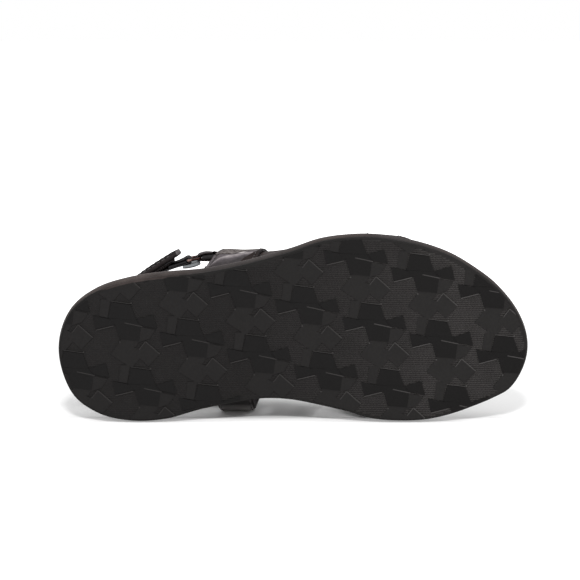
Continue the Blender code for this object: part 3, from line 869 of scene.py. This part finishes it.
def band_painted_light(stage, share):
    """Painted highlight along the roll and in a patch above its front half, painted shade falling off
    towards the sole, and darker in the rear seam.
    """
    beyond = stage - roll_crest(min(share, PANEL_END))
    crest = CREST_HIGHLIGHT * bell(min(beyond, 0.0), 0.06) * bell(max(beyond, 0.0), 0.1)
    patch = PATCH_HIGHLIGHT * bell(stage - PATCH_STAGE, 0.1) * bell(share - PATCH_SHARE, 0.11)
    seam = SEAM_DULL * bell(share - SEAM_SHARE, 0.03)
    return max(crest, patch, DULL - DULLING * max(beyond, 0.0)) - seam


def band_finish(stage, share):
    if stage < MEDIAL_LEATHER_TO:
        return SIDE
    if stage < KNIT_TO:
        return OUTER
    if share > corner_edge(stage):
        return DARK
    below = stage - panel_edge(min(share, PANEL_END))
    if below > 0:
        return ROLLED
    return DARK if below > -SEAM_LINE else OUTER


# Creases: stage, lean along the width, width in stages and depth
STRAP_CREASES = {
    "instep_band": [(2.45, 0.12, 0.05, 0.35), (2.75, -0.1, 0.06, 0.3), (5.5, 0.14, 0.05, 0.3),
                    (5.85, -0.08, 0.05, 0.25)],
    "forward_strap": [(2.5, 0.15, 0.07, 0.3), (3.55, -0.1, 0.06, 0.35), (4.6, 0.12, 0.05, 0.25)],
    "crossing_strap": [(5.4, 0.1, 0.06, 0.3), (3.3, 0.12, 0.06, 0.3), (4.75, -0.12, 0.05, 0.28)],
}


STITCH_IN, STITCH_PITCH, STITCH_LONG, STITCH_THICK = 2.15, 3.3, 2.5, 0.62


def add_stitch(bm, place, run, out):
    """One stitch: a drawn-out ball lying along the seam."""
    side = out.cross(run).normalized()
    out = run.cross(side).normalized()
    turn = Matrix((run, side, out)).transposed().to_4x4()
    stretch = Matrix.Diagonal((STITCH_LONG / 2, STITCH_THICK / 2, STITCH_THICK / 2, 1))
    matrix = Matrix.Translation(place / MM) @ turn @ stretch
    bmesh.ops.create_icosphere(bm, subdivisions=2, radius=1.0, matrix=matrix)


def stitch_line(bm, place_at, out_at, start, end, samples=160):
    """Stitches at even distances along a line given by a share from start to end."""
    shares = [start + (end - start) * k / samples for k in range(samples + 1)]
    places = [place_at(share) for share in shares]
    travelled, next_stitch = 0.0, STITCH_PITCH / 2
    for before, after, share in zip(places, places[1:], shares):
        step = (after - before).length / MM
        while travelled + step >= next_stitch:
            place = before.lerp(after, (next_stitch - travelled) / step)
            add_stitch(bm, place, (after - before).normalized(), out_at(share))
            next_stitch += STITCH_PITCH
        travelled += step


def stitch_piece(name, slot, *seams):
    """Each seam is what stitch_line takes after the mesh."""
    bm = bmesh.new()
    for seam in seams:
        stitch_line(bm, *seam)
    bmesh.ops.scale(bm, vec=(MM, MM, MM), verts=bm.verts)
    mesh_piece(name, bm, [THREAD], 60)


SEAM_FROM, SEAM_TO = 2.12, 5.88  # stages
OUTER_FACE = 0.3  # the band's relief is on what lies this far above the wall's middle
OUTER_TROUGH, INNER_TROUGH = 0.6, 0.5
PROUD = 0.02  # stitches lie this far above their seam


def upper_strap(name, rows):
    stages = range(FIRST_FOOT, LAST_FOOT + 1)
    lines = [smooth_line(stages, values, flats=True) for values in zip(*rows)]
    is_band = name == "instep_band"
    samples = [stage + k / steps for stage, steps in enumerate(BAND_STEPS if is_band else STAGE_STEPS)
               for k in range(steps)] + [LAST_STAGE]
    width = sum(front - rear for rear, front, _ in rows) / len(rows)
    loop, strips = strap_profile(width, UPPER_WALL, BAND_ACROSS if is_band else STRAP_ACROSS)

    def surface(stage, share, height):
        trough = sum(depth * bell(stage - at - lean * (share - 0.5), wide)
                     for at, lean, wide, depth in STRAP_CREASES[name])
        if is_band and height > OUTER_FACE:
            height += panel_relief(stage, share)
        trough *= OUTER_TROUGH if height > 0 else INNER_TROUGH
        rear, front, lift = (line(stage) for line in lines)
        return last_point(rear + (front - rear) * share, stage, lift + (height - trough))

    def finish_at(step, row):
        if is_band and strips[row] == OUTER:
            return band_finish((samples[step] + samples[step + 1]) / 2,
                               (loop[row][0] + loop[row + 1][0]) / 2)
        return strips[row]

    # The band's vertices also carry its painted highlight and shade
    bm = shell(len(samples) - 1, len(loop) - 1,
               lambda step, row: surface(samples[step], *loop[row]), finish_at,
               is_band and (lambda step, row: band_painted_light(samples[step], loop[row][0])))
    finishes = [BROWN_LEATHER, EDGE, LINING]
    if is_band:
        finishes = [KNIT, EDGE, LINING, ROLLED_LEATHER, DARK_LEATHER, SIDE_LEATHER]
    strap = mesh_piece(name, bm, finishes, 50)
    if is_band:
        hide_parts("upper")

    def seam(share):
        def at(stage, height):
            return placed(*surface(stage, share, height))

        return (lambda stage: at(stage, UPPER_WALL / 2 + PROUD),
                lambda stage: (at(stage, 2) - at(stage, 1)).normalized(), SEAM_FROM, SEAM_TO)

    stitch_piece(name + "_stitching", "strap", seam(STITCH_IN / width), seam(1 - STITCH_IN / width))


# ---- sling, ring and tab ----

RING_CENTRE = Vector((74.1, 85.1, 58.0))
RING_RUN = Vector((cos(RING_TURN), sin(RING_TURN), 0.0))
RING_OUT = Vector((-RING_RUN.y, RING_RUN.x, 0.0))


def ring_place(run, out, rise):
    place = RING_CENTRE + RING_RUN * run + RING_OUT * out
    return place.x, place.y, rise, 0


def fold_rows(bar, start_side, facing):
    """Rows half way round a bar of the ring."""
    reach = RING_WIRE + GAP + LOOP_WALL / 2
    angles = [pi * k / 6 - pi / 2 for k in range(7)]
    return [ring_place(bar + facing * reach * cos(angle), start_side * -reach * sin(angle),
                       RING_CENTRE.z) for angle in angles]


def band_row(along, stage, lift, heelward):
    """Route row beside the instep band and leaned as it is; heelward is -1 for a toeward route."""
    nudge = 0.05
    climb = last_section(along, stage + nudge) - last_section(along, stage - nudge)
    lean = degrees(atan2(climb.x, abs(climb.y)))
    return *last_point(along, stage, lift), lean * heelward


TIP_SHARE = 0.35  # of the width is left at a rounded tip


class Ribbon:
    """A flat strap along a smooth route; its width stands upright, leaned by the row's angle."""

    def __init__(self, route, width, wall, tip_length=0.0):
        self.width, self.wall, self.tip_length = width, wall, tip_length
        places = [0.0]
        for before, after in zip(route, route[1:]):
            places.append(places[-1] + (Vector(after[:3]) - Vector(before[:3])).length)
        self.lines = [smooth_line(places, values) for values in zip(*route)]
        self.length = places[-1]

    def centre(self, distance):
        return Vector([line(distance) for line in self.lines[:3]])

    def directions(self, distance):
        """Along the route, across its face and out of it."""
        nudge = 0.2
        run = self.centre(min(distance + nudge, self.length)) - self.centre(max(distance - nudge, 0))
        run.normalize()
        upright = (Vector((0, 0, 1)) - run * run.z).normalized()
        lean = radians(self.lines[3](distance))
        broad = upright * cos(lean) - upright.cross(run) * sin(lean)
        return run, broad, broad.cross(run)

    def half(self, distance):
        to_tip = self.length - distance
        if to_tip >= self.tip_length:
            return self.width / 2
        rounded = sqrt(max(1 - (1 - to_tip / self.tip_length) ** 2, 0))
        return self.width / 2 * (TIP_SHARE + (1 - TIP_SHARE) * rounded)

    def surface(self, distance, share, height):
        _, broad, out = self.directions(distance)
        return self.centre(distance) + broad * (share * 2 - 1) * self.half(distance) + out * height


def ribbon_piece(name, ribbon, step_length, finishes, creases=(), pale_tip=0.0, swell=0.0):
    """The strap's shell. Creases are (distance, width, depth) troughs across it.

    The last finish covers the pale tip's length; swell is the share that the wall gains by the end.
    """
    loop, strips = strap_profile(ribbon.width, ribbon.wall)
    steps = ceil(ribbon.length / step_length)

    def place_at(step, row):
        distance = ribbon.length * step / steps
        share, height = loop[row]
        trough = sum(depth * bell(distance - place, wide) for place, wide, depth in creases)
        return ribbon.surface(distance, share, height * (1 + swell * step / steps) - trough)

    pale_steps = round(steps * pale_tip / ribbon.length)
    bm = shell(steps, len(loop) - 1, place_at,
               lambda step, row: len(finishes) - 1 if step >= steps - pale_steps else strips[row])
    return mesh_piece(name, bm, finishes, 50)


SLING_SEAM_IN, SEAM_START, SEAM_SHORT = 1.9, 3, 5


def sling_stitching(sling):
    def out_at(distance):
        out = sling.directions(distance)[2]
        return Vector((out.x, out.z, out.y))

    def seam(share):
        return (lambda distance: placed(*sling.surface(distance, share, sling.wall / 2)), out_at,
                SEAM_START, sling.length - SEAM_SHORT, 240)

    share = SLING_SEAM_IN / sling.width
    stitch_piece("sling_stitching", "strap", seam(share), seam(1 - share))


def lining_ribbon(name, finish, step_length, wall, narrowed, route, tip_length=0.0, swell=0.0):
    """A plain strip under or between the straps, narrower than the sling."""
    ribbon = Ribbon(route, SLING_WIDTH - narrowed, wall, tip_length)
    ribbon_piece(name, ribbon, step_length, [finish] * 3, swell=swell)


def sling_pieces():
    inside = -(UPPER_WALL + SLING_WALL) / 2 - 7 * GAP
    sling = Ribbon([
        band_row(108, 3.2, inside, 1), band_row(98, 3.2, inside, 1), (86, 6.6, 57.5, 13),
        (66, 8.5, 61, 12), (44, 13, 65, 9), (25, 23, 68, 8), (15, 38, 69, 8), (19, 53.5, 67.5, 7),
        (31.5, 65, 64, 3), (45, 75.8, 60, -3), (55.5, 82.9, 58, -4), (66, 89.3, 58, -4),
    ], SLING_WIDTH, SLING_WALL, tip_length=5)
    creases = [(118, 3.0, 0.25), (128, 2.2, 0.2), (140, 2.6, 0.25), (206, 2.0, 0.2)]
    piece = ribbon_piece("sling", sling, 1.2, [WEBBING, EDGE, LINING, PALE_WEBBING], creases, 2.2)
    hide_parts("heel_strap")
    sling_stitching(sling)

    lining_ribbon("sling_grip_pad", WEBBING, 0.8, 1.3, 1.0, [
        (34, 64.8, 63.3, 2), (40, 69.5, 62, -1), (48, 75.4, 59.8, -4), (55, 80, 58.4, -6),
        (58.5, 82.4, 58, -6), (62.3, 84.9, 58, -6),
    ], swell=0.8)
    lining_ribbon("closure_core", CLOSURE_LINING, 0.4, 1.5, 1.4, [
        (59.5, 80.6, 58, -6), (63.7, 81.9, 58, -6), (67, 83, 58, -5), (69.8, 83.9, 58, -4),
    ])

    closure = Ribbon([
        (28.5, 58.9, 64.8, 3), (37.5, 66.3, 62.3, 0), (46.3, 72.8, 60, -4), (55.1, 77.9, 58.4, -8),
        (62.5, 80.6, 58, -6),
        *fold_rows(-RING_PITCH / 2, -1, 1),
        ring_place(-RING_PITCH / 2 - 2.4, 0.9, 58),
        (63.7, 83.2, 58, -5), (61.2, 82.9, 58, -8), (57.7, 81, 58, -8),
    ], SLING_WIDTH - LOOP_NARROWED, LOOP_WALL)
    piece = ribbon_piece("sling_closure", closure, 0.6, [WEBBING, CLOSURE_LINING, CLOSURE_LINING])
    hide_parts("closure_strap")

    inside = -(UPPER_WALL + LOOP_WALL) / 2 - 3 * GAP + 1.1
    tab = Ribbon([
        *(band_row(along, 4.8, inside, -1) for along in (105, 98, 91)), (86.2, 87.9, 59, -6),
        *fold_rows(RING_PITCH / 2, 1, -1),
        (82.2, 84.7, 58.5, -7), (85.6, 85.3, 58.5, -8),
    ], SLING_WIDTH - LOOP_NARROWED, LOOP_WALL)
    piece = ribbon_piece("link_tab", tab, 0.6, [DARK_LEATHER, EDGE, LINING])
    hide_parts("ring_tab")

    lining_ribbon("tab_stiffener", CLOSURE_LINING, 0.6, 2.7, 1.2, [
        (78.35, 85.9, 58, -4), (82, 86.5, 58.3, -5), (85, 86.7, 58.6, -6), (88.6, 86.6, 58.8, -6),
    ])
    lining_ribbon("ring_backing", LOOP_LINING, 0.6, 2.0, 2.5, [
        (67.6, 81, 57, -6), (69.5, 81, 57, -6), (72, 81.4, 57, -6), (75, 82.2, 57, -6),
        (77.4, 83.1, 57, -6),
    ], tip_length=3)


RING_CORNER, CORNER_STEPS, WIRE_SIDES = 1.2, 8, 16


def ring_piece():
    """A rounded rectangle of wire, standing across the sling."""
    half_run, half_rise = RING_PITCH / 2 - RING_CORNER, RING_SPAN / 2 - RING_CORNER
    stops = []
    for quarter, (toward, up) in enumerate([(1, 1), (-1, 1), (-1, -1), (1, -1)]):
        for k in range(CORNER_STEPS + 1):
            angle = pi / 2 * (quarter + k / CORNER_STEPS)
            facing = Vector((cos(angle), sin(angle)))
            stops.append((Vector((toward * half_run, up * half_rise)) + RING_CORNER * facing, facing))
    stops.append(stops[0])

    def place_at(step, row):
        middle, facing = stops[step]
        turn = 2 * pi * row / WIRE_SIDES
        reach = middle + facing * RING_WIRE * cos(turn)
        out = RING_OUT * RING_WIRE * sin(turn)
        return RING_CENTRE + RING_RUN * reach.x + Vector((0, 0, reach.y)) + out

    piece = mesh_piece("link_ring", shell(len(stops) - 1, WIRE_SIDES, place_at), [ROSE], 60)
    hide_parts("ring")


def footbed_stitching():
    def place_at(turn, inset=7.6):
        along, across = inset_outline(turn, inset)
        return placed(along, across, midsole_top(along, across) + GAP + INSOLE + PROUD)

    stitch_piece("footbed_stitching", "footbed", (place_at, lambda turn: Vector((0, 1, 0)), -pi, pi, 500))


# ---- stage ----

FRONT_GLOW, GLOW_FROM, GLOW_TO = 0.32, 0.012, 0.018
SWEEP_FROM, SWEEP_TO = 0.2, 0.7
SKY, SKY_SEEN = 0.78, 1.0
EYE_DISTANCE, EYE_ELEVATION = 1.4, radians(8.5)
AIM_RISE = 0.052
AIMED_UP, AIMED_LEFT = radians(0.918), radians(0.081)
SENSOR, LENS = 36.0, 157.24


def floor_piece():
    """A white sweep: plain floor at the sandal that brightens into the background behind it; in front of
    the tread it glows, painted light that keeps the floor there white.
    """
    white = Finish("pale_floor", (0.9, 0.9, 0.9), 0.9, 0.0, Emission_Color=(1, 1, 1))
    depth = white.axis("Y")
    tread = TREAD_AT * MM
    in_front = white.range(depth, FRONT_GLOW, 0.0, tread + GLOW_FROM, tread + GLOW_TO)
    behind = white.range(depth, 0.0, 1.0, SWEEP_FROM, SWEEP_TO)
    white.fill(white.shader, Emission_Strength=white.math("ADD", in_front, behind))
    bm = bmesh.new()
    bmesh.ops.create_grid(bm, x_segments=1, y_segments=1, size=6.0)
    floor = mesh_object("floor", bm, [white.material])


def panel_light(name, place, size, power):
    """A square panel aimed at the middle of the floor."""
    data = bpy.data.lights.new(name, "AREA")
    data.shape, data.size, data.energy = "SQUARE", size, power
    light = add_object(name, data)
    light.location = place
    light.rotation_euler = (-Vector(place)).to_track_quat("-Z", "Y").to_euler()


def studio():
    """White all round to the eye, an even sky for the sandal, and soft panels in front and above."""
    world = bpy.context.scene.world = bpy.data.worlds.new("studio")
    world.use_nodes = True
    nodes, links = world.node_tree.nodes, world.node_tree.links
    shader = nodes["Background"]
    shader.inputs["Color"].default_value = (1, 1, 1, 1)
    pick = nodes.new("ShaderNodeMix")
    links.new(nodes.new("ShaderNodeLightPath").outputs["Is Camera Ray"], pick.inputs["Factor"])
    pick.inputs["A"].default_value = SKY
    pick.inputs["B"].default_value = SKY_SEEN
    links.new(pick.outputs["Result"], shader.inputs["Strength"])
    panel_light("front_panel", (-0.04, -1.5, 1.05), 0.2, 22.0)
    panel_light("top_panel", (0.3, 0.05, 1.3), 0.9, 5.3)
    bpy.context.scene.view_settings.view_transform = "Standard"


def camera():
    """Looks at the tread side from a little above the floor."""
    data = bpy.data.cameras.new("camera")
    data.sensor_width, data.lens = SENSOR, LENS
    eye = add_object("camera", data)
    aim = Vector((0.0, TREAD_AT * MM, AIM_RISE))
    back = Vector((0, -cos(EYE_ELEVATION), sin(EYE_ELEVATION)))
    eye.location = aim + EYE_DISTANCE * back
    pitch = EYE_ELEVATION - AIMED_UP
    look = Vector((-sin(AIMED_LEFT) * cos(pitch), cos(AIMED_LEFT) * cos(pitch), -sin(pitch)))
    eye.rotation_euler = look.to_track_quat("-Z", "Y").to_euler()
    bpy.context.scene.camera = eye


camera()
outsole_piece()
tread_pieces()
midsole_piece()
insole_piece()
footbed_stitching()
for strap in STRAPS.items():
    upper_strap(*strap)
sling_pieces()
ring_piece()
floor_piece()
studio()
